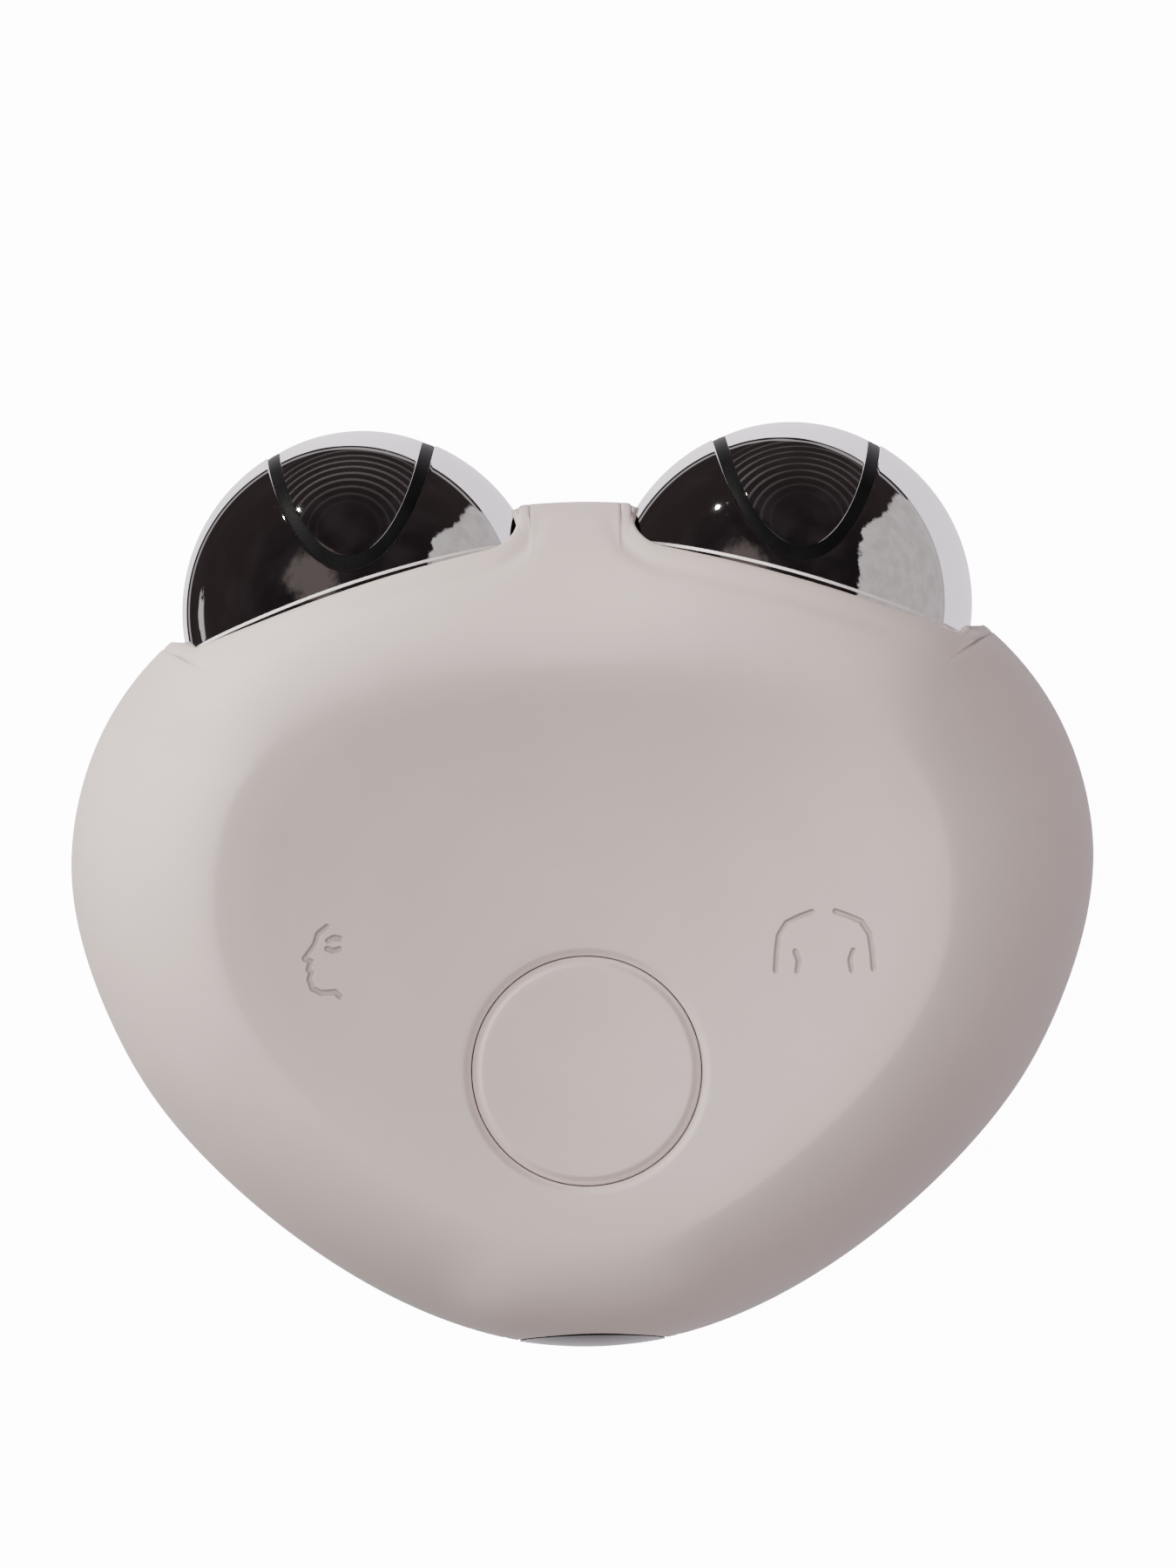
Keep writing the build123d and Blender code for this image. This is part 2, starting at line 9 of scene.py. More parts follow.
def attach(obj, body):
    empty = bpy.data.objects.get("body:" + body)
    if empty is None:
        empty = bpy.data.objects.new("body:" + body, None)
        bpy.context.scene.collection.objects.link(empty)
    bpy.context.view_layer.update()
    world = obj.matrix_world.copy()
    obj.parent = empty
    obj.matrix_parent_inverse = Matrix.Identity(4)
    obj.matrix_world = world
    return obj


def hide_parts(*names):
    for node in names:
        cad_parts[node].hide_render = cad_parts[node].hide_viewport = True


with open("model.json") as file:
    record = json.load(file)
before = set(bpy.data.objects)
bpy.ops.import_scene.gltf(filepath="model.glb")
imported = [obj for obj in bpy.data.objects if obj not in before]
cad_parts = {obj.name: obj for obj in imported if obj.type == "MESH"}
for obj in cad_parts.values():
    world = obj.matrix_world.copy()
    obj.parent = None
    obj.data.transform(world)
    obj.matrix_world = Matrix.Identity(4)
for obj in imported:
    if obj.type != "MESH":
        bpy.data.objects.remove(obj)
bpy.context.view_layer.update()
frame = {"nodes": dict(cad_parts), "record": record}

# lengths in millimetres, Y zero on the housing's widest line; toMetres moves them to the frame
housing = dict(
    midZ=17.0, midSlope=0.08,            # widest line
    crestZ=35.4, crestSlope=0.1635,      # crest of the thumb dish
    rearZ=1.34, rearSlope=0.13, rearCentreY=-5.0, rearFullness=0.72,
    dishCentreY=-3.6, dishDepth=3.2,
    # 2 is an ellipse, less a flatter flank; fuller at the end and by the sockets, flatter at the web
    flankPower=1.57, endPower=0.63, endHalf=11.0,
    topPower=0.5, topFrom=11.0, topOver=11.0, webPower=0.12, webHalf=14.0,
    jointDrop=1.0, jointRound=0.22,      # cover joint below the widest line, its soft edge
    outline=[(0, 30.9), (12, 29.7), (23, 26.6), (31.5, 22.4), (37.2, 18.0), (41.4, 12.6),
             (44.2, 5.6), (45, -1), (44.1, -7.4), (42.0, -13.6), (38.6, -20.2),
             (33.5, -26.6), (27.0, -32.6), (19.0, -38.1), (9.8, -42.1), (0, -43.5)],
    crest=[(0, 16.2), (7.4, 15.9), (14.2, 15.0), (20.2, 13.3), (24.9, 10.9), (28.3, 7.5),
           (30.6, 3.0), (31.5, -1.8), (31.4, -6.6), (30.2, -11.2), (27.8, -15.8),
           (24.3, -20.2), (19.6, -24.8), (13.6, -29.4), (6.8, -32.9), (0, -33.9)],
    dishSteps=[(0, 0), (.08, .06), (.2, .25), (.4, .56), (.65, .85), (.93, 1), (1, 1)],  # way in, fall
)


def cyclicSpline(knots, values):
    # closed cubic through the values: second derivatives from the cyclic three-term equations
    n = len(knots) - 1
    h = np.diff(knots)
    rows = np.arange(n)
    left, right = (rows - 1) % n, (rows + 1) % n
    matrix = np.zeros((n, n))
    matrix[rows, rows] = 2 * (h[left] + h)
    matrix[rows, left] += h[left]
    matrix[rows, right] += h
    slope = (values[right] - values) / h[:, None]
    bend = np.linalg.solve(matrix, 6 * (slope - slope[left]))

    def at(t):
        # in each span the cubic whose second derivative runs straight between its ends
        t = np.mod(t, 1.0)
        i = np.clip(np.searchsorted(knots, t, side="right") - 1, 0, n - 1)
        j = (i + 1) % n
        a, b, hi = knots[i + 1] - t, t - knots[i], h[i]
        return ((bend[i] * a[:, None] ** 3 + bend[j] * b[:, None] ** 3) / (6 * hi[:, None])
                + (values[i] / hi[:, None] - bend[i] * hi[:, None] / 6) * a[:, None]
                + (values[j] / hi[:, None] - bend[j] * hi[:, None] / 6) * b[:, None])
    return at


def wholeLoop(half):
    # the right half and its mirror image, one closed loop
    return np.array(half + [(-x, y) for x, y in half[-2:0:-1]], float)


def chordKnots(loop):
    # 0 to 1 along the loop by the straight distances between its points
    steps = np.linalg.norm(np.roll(loop, -1, axis=0) - loop, axis=1)
    return np.concatenate([[0], np.cumsum(steps)]) / steps.sum()


outlineLoop, crestLoop = wholeLoop(housing["outline"]), wholeLoop(housing["crest"])
outlineKnots, crestKnots = chordKnots(outlineLoop), chordKnots(crestLoop)
outlineAt = cyclicSpline(outlineKnots, outlineLoop)
crestAtOwn = cyclicSpline(crestKnots, crestLoop)
crestLag = cyclicSpline(outlineKnots, (crestKnots - outlineKnots)[:-1, None])


def crestAt(t):
    # the crest's place that goes with a place on the outline, point for point
    return crestAtOwn(t + crestLag(t)[:, 0])


def midZ(y):
    # a plane: height at Y zero plus slope times y
    return housing["midZ"] + housing["midSlope"] * y


def crestZ(y):
    # a plane, as midZ
    return housing["crestZ"] + housing["crestSlope"] * y


def rearZ(y):
    # a plane about the middle of the palm side
    return housing["rearZ"] + housing["rearSlope"] * (y - housing["rearCentreY"])


denseCrest = crestAtOwn(np.linspace(0, 1, 4000, endpoint=False))
crestTurn = np.arctan2(denseCrest[:, 0], denseCrest[:, 1] - housing["dishCentreY"])
crestReach = np.hypot(denseCrest[:, 0], denseCrest[:, 1] - housing["dishCentreY"])
turnOrder = np.argsort(crestTurn)
dishS, dishF = np.array(housing["dishSteps"]).T
dishSlopes = np.diff(dishF) / np.diff(dishS)
# slope at each step: none at the ends, else the harmonic mean of the slopes on both sides
dishMeans = 2 * dishSlopes[1:] * dishSlopes[:-1] / (dishSlopes[1:] + dishSlopes[:-1] + 1e-9)
dishM = np.concatenate([[0], dishMeans, [0]])


def dishFall(s):
    # share of the depth: cubic pieces that meet with equal slopes
    i = np.clip(np.searchsorted(dishS, s, side="right") - 1, 0, len(dishS) - 2)
    h = dishS[i + 1] - dishS[i]
    t = (s - dishS[i]) / h
    return (dishF[i] * (1 + 2 * t) * (1 - t) ** 2 + dishF[i + 1] * t ** 2 * (3 - 2 * t)
            + h * (dishM[i] * t * (1 - t) ** 2 - dishM[i + 1] * t ** 2 * (1 - t)))


def dishHeight(x, y):
    # crest plane less depth times the fall, by the share of the way in from the crest
    turn = np.arctan2(x, y - housing["dishCentreY"])
    reach = np.interp(turn, crestTurn[turnOrder], crestReach[turnOrder], period=tau)
    share = 1 - np.hypot(x, y - housing["dishCentreY"]) / reach
    return crestZ(y) - housing["dishDepth"] * dishFall(np.clip(share, 0, 1))


def sidePoint(outer, inner, q):
    # q 0 crest, 1 widest line, 2 middle of the back: a quarter turn either side, the upper one
    # with (share out) ** power + (share up) ** power = 1
    up = np.clip(1 - q, 0, 1) * pi / 2
    down = np.clip(q - 1, 0, 0.9999) * pi / 2
    end = np.exp(-(outer[..., 0] / housing["endHalf"]) ** 4) * (outer[..., 1] < 0)
    web = np.exp(-(outer[..., 0] / housing["webHalf"]) ** 2)
    top = soften(np.clip((outer[..., 1] - housing["topFrom"]) / housing["topOver"], 0, 1))
    power = housing["flankPower"] + housing["endPower"] * end \
        + top * (housing["topPower"] + (housing["webPower"] - housing["topPower"]) * web)
    way, rise = 1 - np.cos(up) ** (2 / power), np.sin(up) ** (2 / power)
    full, fall = np.cos(down) ** housing["rearFullness"], np.sin(down)
    flat = outer + (inner - outer) * way[..., None]
    flat = np.stack([flat[..., 0] * full,
                     housing["rearCentreY"] + (flat[..., 1] - housing["rearCentreY"]) * full], -1)
    y = flat[..., 1]
    z = midZ(y) + (crestZ(y) - midZ(y)) * rise + (rearZ(y) - midZ(y)) * fall
    return np.concatenate([flat, z[..., None]], -1)


ball = dict(
    radius=16.0, x=18.8, y=21.65, z=16.0, splay=19.1, lean=2.5,          # degrees out and down
    fit=0.3, lipRound=0.55,                                              # gap in the socket, its soft lip
    mouth=1.45, mouthFall=0.0028, mouthTop=6.0, mouthFrom=-15.0,         # the lip's line across the ball
    mouthHalf=26.0, webSide=5.1, outerEnd=16.4, corner=2.4, endCorner=1.0,
    valley=0.22, valleyAt=2.1, valleyWidth=0.8,                          # shallow trough along the lip
    tongueHalf=7.62, tongueLong=18.0, tongueCentre=22.0, tongueOut=0.85,
    tongueFlat=0.1, tonguePower=2.2, edgeRound=0.16, shellReach=148.0,
    seam=1.1, sunk=0.1, stripCrown=0.03, stripUnder=0.15,
    ringStep=0.85, ringOut=7.0, ringUp=14.3, ringFrom=(2.0, 7.0), ringTo=(9.0, 12.0),  # turning marks
    # the pale line along the lip is a painted reflection of the housing's lip on the chrome
    lipReflectionFrom=(0.12, 0.2), lipReflectionTo=(0.36, 0.44), lipReflectionUp=(20.0, 24.0),      # pale line along the lip
    turns=288, rollRings=7, tongueRings=56, shellRings=80, stripRings=9,
)
splay, lean = radians(ball["splay"]), radians(ball["lean"])
ballOut = np.array([sin(splay) * cos(lean), cos(splay) * cos(lean), -sin(lean)])
ballAcross = np.array([cos(splay), -sin(splay), 0.0])
ballDown = np.cross(ballOut, ballAcross)
ballCentre = np.array([ball["x"], ball["y"], ball["z"]])
socketRadius = ball["radius"] + ball["fit"]
shiftY = -(ball["y"] + ball["radius"] + housing["outline"][-1][1]) / 2    # middle of the whole length


def toMetres(points):
    # millimetres of the drawing to metres of the frame
    return (points + np.array([0.0, shiftY, 0.0])) / 1000.0


def mirrored(p):
    # the same place on the right half
    return np.concatenate([np.abs(p[..., :1]), p[..., 1:]], -1)


def roundedJoin(first, second, radius):
    # distance outside two cuts that work together, the corner between them rounded
    both = np.stack([first + radius, second + radius], -1)
    return np.linalg.norm(np.maximum(both, 0), axis=-1) + np.minimum(both.max(-1), 0) - radius


def mouthAt(across):
    # how far out the housing's lip lies: level outside, falling by the square towards the web
    return ball["mouth"] - ball["mouthFall"] * np.minimum(across - ball["mouthTop"], 0) ** 2


def socketDistance(p):
    # distance outside the socket: nearer of a ball and of a round-cornered block beyond the mouth
    q = mirrored(p) - ballCentre
    across = q @ ballAcross
    ends = np.maximum(ball["webSide"] - np.abs(p[..., 0]), across - ball["outerEnd"])
    sides = roundedJoin(ends, np.abs(q @ ballDown) - ball["mouthHalf"], ball["endCorner"])
    beyond = mouthAt(np.maximum(across, ball["mouthFrom"])) - q @ ballOut
    block = roundedJoin(beyond, sides, ball["corner"])
    return np.minimum(np.linalg.norm(q, axis=-1) - socketRadius, block)


# charging window in the bottom end; nothing inwards of behindY is cut
plate = dict(halfX=6.4, z=15.0, halfZ=7.5, edgeRound=0.3, behindY=-36.0)


def windowDistance(p):
    # distance outside the charging window, an upright slot in the bottom end
    up = np.maximum(np.abs(p[..., 2] - plate["z"]) - (plate["halfZ"] - plate["halfX"]), 0)
    slot = np.hypot(p[..., 0], up) - plate["halfX"]
    return np.maximum(slot, p[..., 1] - plate["behindY"])


def meshFrom(name, grid, poleFirst=False, flip=False):
    # one vertex per grid place, closed round each row; four-sided faces between rows, a fan at a pole
    rows, cols = grid.shape[:2]
    verts = grid.reshape(-1, 3)
    i, j = np.meshgrid(np.arange(rows - 1), np.arange(cols), indexing="ij")
    nxt = (j + 1) % cols
    quads = np.stack([i * cols + j, i * cols + nxt, (i + 1) * cols + nxt, (i + 1) * cols + j], -1)
    quads = quads.reshape(-1, 4)
    tris = np.zeros((0, 3), int)
    ring = np.arange(cols)
    if poleFirst:
        verts = np.vstack([verts, grid[0].mean(0)])
        tris = np.stack([np.full(cols, len(verts) - 1), np.roll(ring, -1), ring], -1)
    if flip:
        quads, tris = quads[:, ::-1], tris[:, ::-1]
    return makeMesh(name, verts, quads, tris)


def makeMesh(name, verts, quads, tris):
    # a smooth-shaded piece from whole arrays of places and faces
    mesh = bpy.data.meshes.new(name)
    mesh.vertices.add(len(verts))
    mesh.vertices.foreach_set("co", toMetres(verts).astype(np.float32).ravel())
    loops = np.concatenate([quads.ravel(), tris.ravel()]).astype(np.int32)
    sizes = np.concatenate([np.full(len(quads), 4), np.full(len(tris), 3)]).astype(np.int32)
    mesh.loops.add(len(loops))
    mesh.loops.foreach_set("vertex_index", loops)
    mesh.polygons.add(len(sizes))
    starts = np.concatenate([[0], np.cumsum(sizes)[:-1]])
    mesh.polygons.foreach_set("loop_start", starts.astype(np.int32))
    mesh.update(calc_edges=True)
    mesh.validate()
    mesh.shade_smooth()
    piece = bpy.data.objects.new(name, mesh)
    bpy.context.scene.collection.objects.link(piece)
    return piece


def soften(way):
    # 0 to 1 with level ends: three squares less two cubes
    return way * way * (3 - 2 * way)


def along(a, b, ways):
    # straight rows from a to b at the given ways
    return a + (b - a) * np.asarray(ways)[:, None, None]


def normalsOf(grid):
    # unit normals from the two ways across a grid
    down, aside = np.gradient(grid, axis=0), np.roll(grid, -1, 1) - np.roll(grid, 1, 1)
    n = np.cross(aside, down)
    return n / np.maximum(np.linalg.norm(n, axis=-1, keepdims=True), 1e-12)


def rounding(distance, radius):
    # how far a rolled-over edge lies under the full surface, at a distance from the edge
    d = np.clip(distance, 0, radius)
    return radius - np.sqrt(radius ** 2 - (radius - d) ** 2)


# columns round the loop, and the spots where they lie closer: each has its place, its reach and
# how much closer it is
columns = dict(front=600, rear=560, dishRows=72, dishCrowd=0.9, web=(7.0, 7.0, 2.0), webSides=(6.1, 1.1, 16.0),
               window=(0.0, 9.0, 1.2), outerEnds=(37.0, 18.0, 6.0, 0.8), topY=27.0, bottomY=-30.0)


def columnPlaces(count):
    # spacing is one over a weight: 1 plus a bell, exp(-(distance / reach) ** 2), for each spot
    t = np.linspace(0, 1, 4001)
    x, y = outlineAt(t).T

    def bell(spot, distance):
        # as much closer as the spot says, fading over its reach
        return spot[-1] * np.exp(-(distance / spot[-2]) ** 2)

    web = bell(columns["web"], np.abs(x) - columns["web"][0]) \
        + bell(columns["webSides"], np.abs(x) - columns["webSides"][0])
    endX, endY = columns["outerEnds"][:2]
    weight = 1 + (y > columns["topY"]) * web + (y < columns["bottomY"]) * bell(columns["window"], x) \
        + bell(columns["outerEnds"], np.hypot(np.abs(x) - endX, y - endY))
    total = np.concatenate([[0], np.cumsum((weight[1:] + weight[:-1]) / 2)])
    return np.interp(np.linspace(0, total[-1], count, endpoint=False), total, t)


def edgeDistances(p, jointSide):
    # distances from the sockets, from the window and from the cover joint
    joint = (p[..., 2] - midZ(p[..., 1]) + housing["jointDrop"]) * jointSide
    return socketDistance(p), windowDistance(p), joint


def firstBelow(values, q, level):
    # in each column the first place along the way where the value falls to the level
    below = values < level
    i = np.clip(np.argmax(below, 0), 1, len(q) - 1)
    cols = np.arange(values.shape[1])
    a, b = values[i - 1, cols], values[i, cols]
    return q[i - 1] + (q[i] - q[i - 1]) * np.clip((a - level) / np.maximum(a - b, 1e-9), 0, 1)


def sideRows(q, t):
    # points of the side at one q per row and column
    outer, inner = outlineAt(t), crestAt(t)
    return sidePoint(outer[None], inner[None], q)


def gentle(values, reach):
    # the lowest value of the columns near by, averaged round the loop: never above the column's own
    offsets = range(-reach, reach + 1)
    lowest = np.min([np.roll(values, k) for k in offsets], 0)
    return np.mean([np.roll(lowest, k) for k in offsets], 0)


# how the rows of a side lie near a cut, where the trough along the lips fades, and the steps of the
# cut's face inwards: share of the way to the ball, depth along the ball, depth into the wall
edges = dict(
    fineSteps=1600, nearEdge=1.1, neighbours=22, crowd=0.92, bend=4, edgeCrowd=1.6,
    troughZ=25.0, troughRise=7.0, troughEnd=3.0, troughFade=6.0,
    faceSteps=[(0.3, 0, 0.3), (0.65, 0, 0.6), (1, 0, 0.9), (1, 2, 1.6), (1, 5, 1.6), (1, 9, 1.6)],
    ballEnd=0.97, straightEnd=2, windowDeeper=2.2,
)


def coverSide(t, qFrom, qTo, jointSide, rows, edgeRows):
    # rows from qFrom to the cut edge: the main ones in even steps, the last ones close together and
    # rolled over; next to a cut that ends early the main rows bend towards it only near their end
    q = np.linspace(qFrom, qTo, edges["fineSteps"])
    field = sideRows(np.repeat(q[:, None], len(t), 1), t)
    socket, window, joint = edgeDistances(field, jointSide)
    nearest = np.minimum(np.minimum(socket, window), joint)
    sign = 1 if qTo > qFrom else -1
    qEnd = firstBelow(nearest, q * sign, 0.0) * sign
    qBack = firstBelow(nearest, q * sign, edges["nearEdge"]) * sign
    length = (qBack - qFrom) * sign
    shared = gentle(length, edges["neighbours"])
    way = np.linspace(0, 1, rows)[:, None] ** edges["crowd"]
    main = qFrom + sign * (shared * way + (length - shared) * way ** edges["bend"])
    left = 1 - np.linspace(0, 1, edgeRows + 1)[1:, None]
    last = qBack + (qEnd - qBack)[None] * (1 - left ** edges["edgeCrowd"])
    grid = sideRows(np.concatenate([main, last]), t)
    socket, window, joint = edgeDistances(grid, jointSide)
    rolled = np.maximum(rounding(socket, ball["lipRound"]), rounding(window, plate["edgeRound"]))
    drop = np.maximum(rolled, rounding(joint, housing["jointRound"]))
    # the trough along the lips, on the upper side only and fading before the outer ends
    across = (mirrored(grid) - ballCentre) @ ballAcross
    upper = np.clip((grid[..., 2] - edges["troughZ"]) / edges["troughRise"], 0, 1) * (jointSide > 0) \
        * soften(np.clip((ball["outerEnd"] - edges["troughEnd"] - across) / edges["troughFade"], 0, 1))
    drop += ball["valley"] * np.exp(-((socket - ball["valleyAt"]) / ball["valleyWidth"]) ** 2) * upper
    return grid, drop, (socket[-1], window[-1], joint[-1])


def edgeFace(edge, ends):
    # from a cut edge inwards: straight down to the socket's ball and along it, or into the wall
    socket, window, joint = ends
    side = np.where(edge[:, :1] < 0, -1.0, 1.0)
    q = mirrored(edge) - ballCentre
    out, across, down = q @ ballOut, q @ ballAcross, q @ ballDown
    span = np.sqrt(np.maximum(socketRadius ** 2 - across ** 2, 0))
    onSphere = span > np.abs(out)
    half = np.where(down < 0, -1.0, 1.0)

    def place(o, d):
        # the ball's centre plus ways out, across and down, on the edge's own side
        p = ballCentre + o[:, None] * ballOut + across[:, None] * ballAcross + d[:, None] * ballDown
        return p * np.concatenate([side, np.ones((len(side), 2))], 1)

    def sphereDown(o):
        # how far down the socket's ball lies at a way out
        return half * np.sqrt(np.maximum(span ** 2 - o ** 2, 0))

    meet = half * np.minimum(np.abs(down), np.abs(sphereDown(out)))
    inward = np.stack([-edge[:, 0], housing["rearCentreY"] - edge[:, 1], np.zeros(len(edge))], 1)
    inward /= np.linalg.norm(inward, axis=1, keepdims=True)
    near = (socket < window) & (socket < joint)
    steps = []
    for way, deep, depth in edges["faceSteps"]:
        o = np.where(onSphere, np.maximum(out - deep, -edges["ballEnd"] * span),
                     out - min(deep, edges["straightEnd"]))
        target = place(out, meet) if deep == 0 else place(o, np.where(onSphere, sphereDown(o), meet))
        wallRow = edge + inward * np.where(window < joint, depth * edges["windowDeeper"], depth)[:, None]
        steps.append(np.where(near[:, None], edge + (target - edge) * way, wallRow))
    return np.stack(steps)


# round push button, flush in the dish, with a soft groove round it
button = dict(y=-18.7, radius=9.7, gap=0.3, capRound=0.65, capBase=24.6,
              holeRound=0.75, groove=0.42, skirt=0.2, wallEnd=26.0, slopeRows=9, capRings=34)


def dishRing(ray, radius, drop=0.0):
    # a ring round the button's middle along unit rays, on the dish or a drop under it
    flat = np.array([0.0, button["y"]]) + ray * radius
    return np.concatenate([flat, dishHeight(flat[:, 0], flat[:, 1])[:, None] - drop], 1)


def frontCover():
    # button hole, dish, crest and flank down to the lips of the sockets and the cover joint;
    # straight rays join the hole to the crest, and every place of the dish takes the dish's height
    t = columnPlaces(columns["front"])
    crest = crestAt(t)
    turn = np.arctan2(crest[:, 0], crest[:, 1] - button["y"])
    ray = np.stack([np.sin(turn), np.cos(turn)], 1)
    holeR, soft, groove = button["radius"] + button["gap"], button["holeRound"], button["groove"]
    rim, wallTop = dishRing(ray, holeR + soft), dishRing(ray, holeR, groove)
    slope = [dishRing(ray, holeR + soft * way, groove * (1 - soften(way)))
             for way in np.linspace(0, 1, button["slopeRows"])[1:-1]]
    floor = np.concatenate([wallTop[:, :2], np.full((len(t), 1), button["wallEnd"])], 1)
    ways = np.linspace(0, 1, columns["dishRows"])[1:-1] ** columns["dishCrowd"]
    start = rim[:, :2]
    flat = start + (crest - start) * ways[:, None, None]
    dish = np.concatenate([flat, dishHeight(flat[..., 0], flat[..., 1])[..., None]], -1)
    side, drop, ends = coverSide(t, qFrom=0.0, qTo=1.12, jointSide=1, rows=56, edgeRows=9)
    outer = np.concatenate([rim[None], dish, side])
    outer[len(dish) + 1:] -= normalsOf(outer)[len(dish) + 1:] * drop[..., None]
    hole = np.concatenate([along(floor, wallTop, [0, 0.5, 0.97, 1]), np.stack(slope)])
    return meshFrom("frontCover", np.concatenate([hole, outer, edgeFace(outer[-1], ends)]))


def rearCover():
    # palm side from its middle out to the joint and the sockets, then inwards
    t = columnPlaces(columns["rear"])
    side, drop, ends = coverSide(t, qFrom=1.985, qTo=0.95, jointSide=-1, rows=70, edgeRows=9)
    side = side + normalsOf(side) * drop[..., None]
    grid = np.concatenate([side, edgeFace(side[-1], ends)])
    return meshFrom("rearCover", grid, poleFirst=True, flip=True)


def buttonCap():
    # a disc that carries on the dish's surface, its edge falling softly to a short wall
    t = np.linspace(0, tau, 256, endpoint=False)
    ray = np.stack([np.sin(t), np.cos(t)], 1)
    radius, soft, groove = button["radius"], button["capRound"], button["groove"]
    top = [dishRing(ray, r) for r in np.linspace(0.3, radius - soft, button["capRings"])]
    slope = [dishRing(ray, radius - soft * (1 - way), groove * soften(way))
             for way in np.linspace(0, 1, button["slopeRows"] + 1)[1:]]
    ledge = dishRing(ray, radius + button["skirt"], groove)
    base = np.concatenate([ledge[:, :2], np.full((len(t), 1), button["capBase"])], 1)
    rows = np.concatenate([np.stack(top + slope), along(ledge, base, [0, 0.03, 0.5, 1])])
    return meshFrom("buttonCap", rows, poleFirst=True)


def seamAngle(turn, pole, sides, grow):
    # angle from the pole at which a way round it leaves the tongue's ellipse, (x / half width) ** 2
    # + (y / half length) ** 2 = 1 about its middle, found by halving what is nearly a quarter turn
    low, high = np.zeros_like(turn), np.full_like(turn, 1.55)
    for _ in range(40):
        a = (low + high) / 2
        p = ballWay(turn, a, pole, sides) * ball["radius"]
        inside = ((p[..., 0] - ball["tongueOut"]) / (ball["tongueHalf"] + grow)) ** 2 \
            + ((p[..., 1] - ball["tongueCentre"]) / (ball["tongueLong"] + grow)) ** 2 < 1
        low, high = np.where(inside, a, low), np.where(inside, high, a)
    return low


def ballWay(turn, angle, pole, sides):
    # direction at an angle from the pole, turned round it
    turned = np.cos(turn)[..., None] * sides[0] + np.sin(turn)[..., None] * sides[1]
    return np.cos(angle)[..., None] * pole + np.sin(angle)[..., None] * turned


def electrodeBall(side):
    # tongue, insulator strip and shell as rings about the middle of the tongue: each place is the
    # ball's centre plus a radius along a direction; edges roll over by a quarter turn
    r, edge, out = ball["radius"], ball["edgeRound"], ball["tongueOut"]
    pole = np.array([out, sqrt(r ** 2 - out ** 2), 0]) / r
    sides = np.array([pole[1], -pole[0], 0]), np.array([0, 0, 1.0])
    turn = np.linspace(0, tau, ball["turns"], endpoint=False)
    name = "left" if side < 0 else "right"
    inside, outside = (seamAngle(turn, pole, sides, grow) for grow in (-ball["seam"] / 2, ball["seam"] / 2))
    flat = np.ones_like(turn)
    roll = np.linspace(0, pi / 2, ball["rollRings"])[:, None]
    unroll = roll[::-1][:-1]

    ways = np.linspace(0.02, 1, ball["tongueRings"])[:, None]
    inner = inside - edge / r
    tongue = np.concatenate([inner * ways, inner + edge / r * np.sin(roll[1:]), inside[None] * np.ones((2, 1))])
    belly = r - ball["tongueFlat"] * (ways * flat) ** ball["tonguePower"]
    tongueR = np.concatenate([belly, belly[-1] - edge * (1 - np.cos(roll[1:])) * flat,
                              belly[-1] - np.array([[0.5], [1.0]]) * flat])

    outer = outside + edge / r
    reach = radians(ball["shellReach"])
    shellWays = np.linspace(0, 1, ball["shellRings"])[:, None]
    shell = np.concatenate([outside[None] * np.ones((2, 1)), outer - edge / r * np.sin(unroll),
                            outer + (reach - outer) * shellWays])
    shellR = np.concatenate([r - np.array([[1.0], [0.5]]) * flat, r - edge * (1 - np.cos(unroll)) * flat,
                             r * np.ones_like(shellWays) * flat])

    # the strip runs a little under its neighbours on both sides
    under = ball["stripUnder"]
    strip = inside + (outside - inside) * np.linspace(-under, 1 + under, ball["stripRings"])[:, None]
    crown = np.linspace(-1, 1, ball["stripRings"])[:, None] ** 2
    stripR = (r - ball["sunk"] - ball["stripCrown"] * crown) * flat

    made = []
    for piece, angles, radii in (("Tongue", tongue, tongueR), ("Insulator", strip, stripR),
                                 ("Shell", shell, shellR)):
        rings = ballWay(turn[None], angles, pole, sides) * radii[..., None] + ballCentre
        rings = rings * np.array([side, 1, 1])
        made.append(meshFrom(name + piece, rings, poleFirst=piece == "Tongue", flip=side < 0))
    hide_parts(name + "_electrode_tongue")
    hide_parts(name + "_insulator")
    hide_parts(name + "_electrode_shell")
    return made


class Value:
    # a socket, or a number, that takes part in sums
    def __init__(self, shade, source):
        self.shade, self.source = shade, source

    def math(self, kind, other=0.0):
        # one Math node of this and another value
        return self.shade.node("ShaderNodeMath", {"operation": kind}, {0: self, 1: other})

    def __add__(self, other): return self.math("ADD", other)
    def __sub__(self, other): return self.math("SUBTRACT", other)
    def __mul__(self, other): return self.math("MULTIPLY", other)
    def __truediv__(self, other): return self.math("DIVIDE", other)
    def __radd__(self, other): return Value(self.shade, other).math("ADD", self)
    def __rsub__(self, other): return Value(self.shade, other).math("SUBTRACT", self)

    def clamp(self):
        # held between 0 and 1
        return self.math("MAXIMUM", 0.0).math("MINIMUM", 1.0)

    def smooth(self, low, high):
        # 0 at low to 1 at high with soft ends
        return self.shade.node("ShaderNodeMapRange", {"interpolation_type": "SMOOTHSTEP"},
                               {0: self, 1: low, 2: high, 3: 0.0, 4: 1.0})


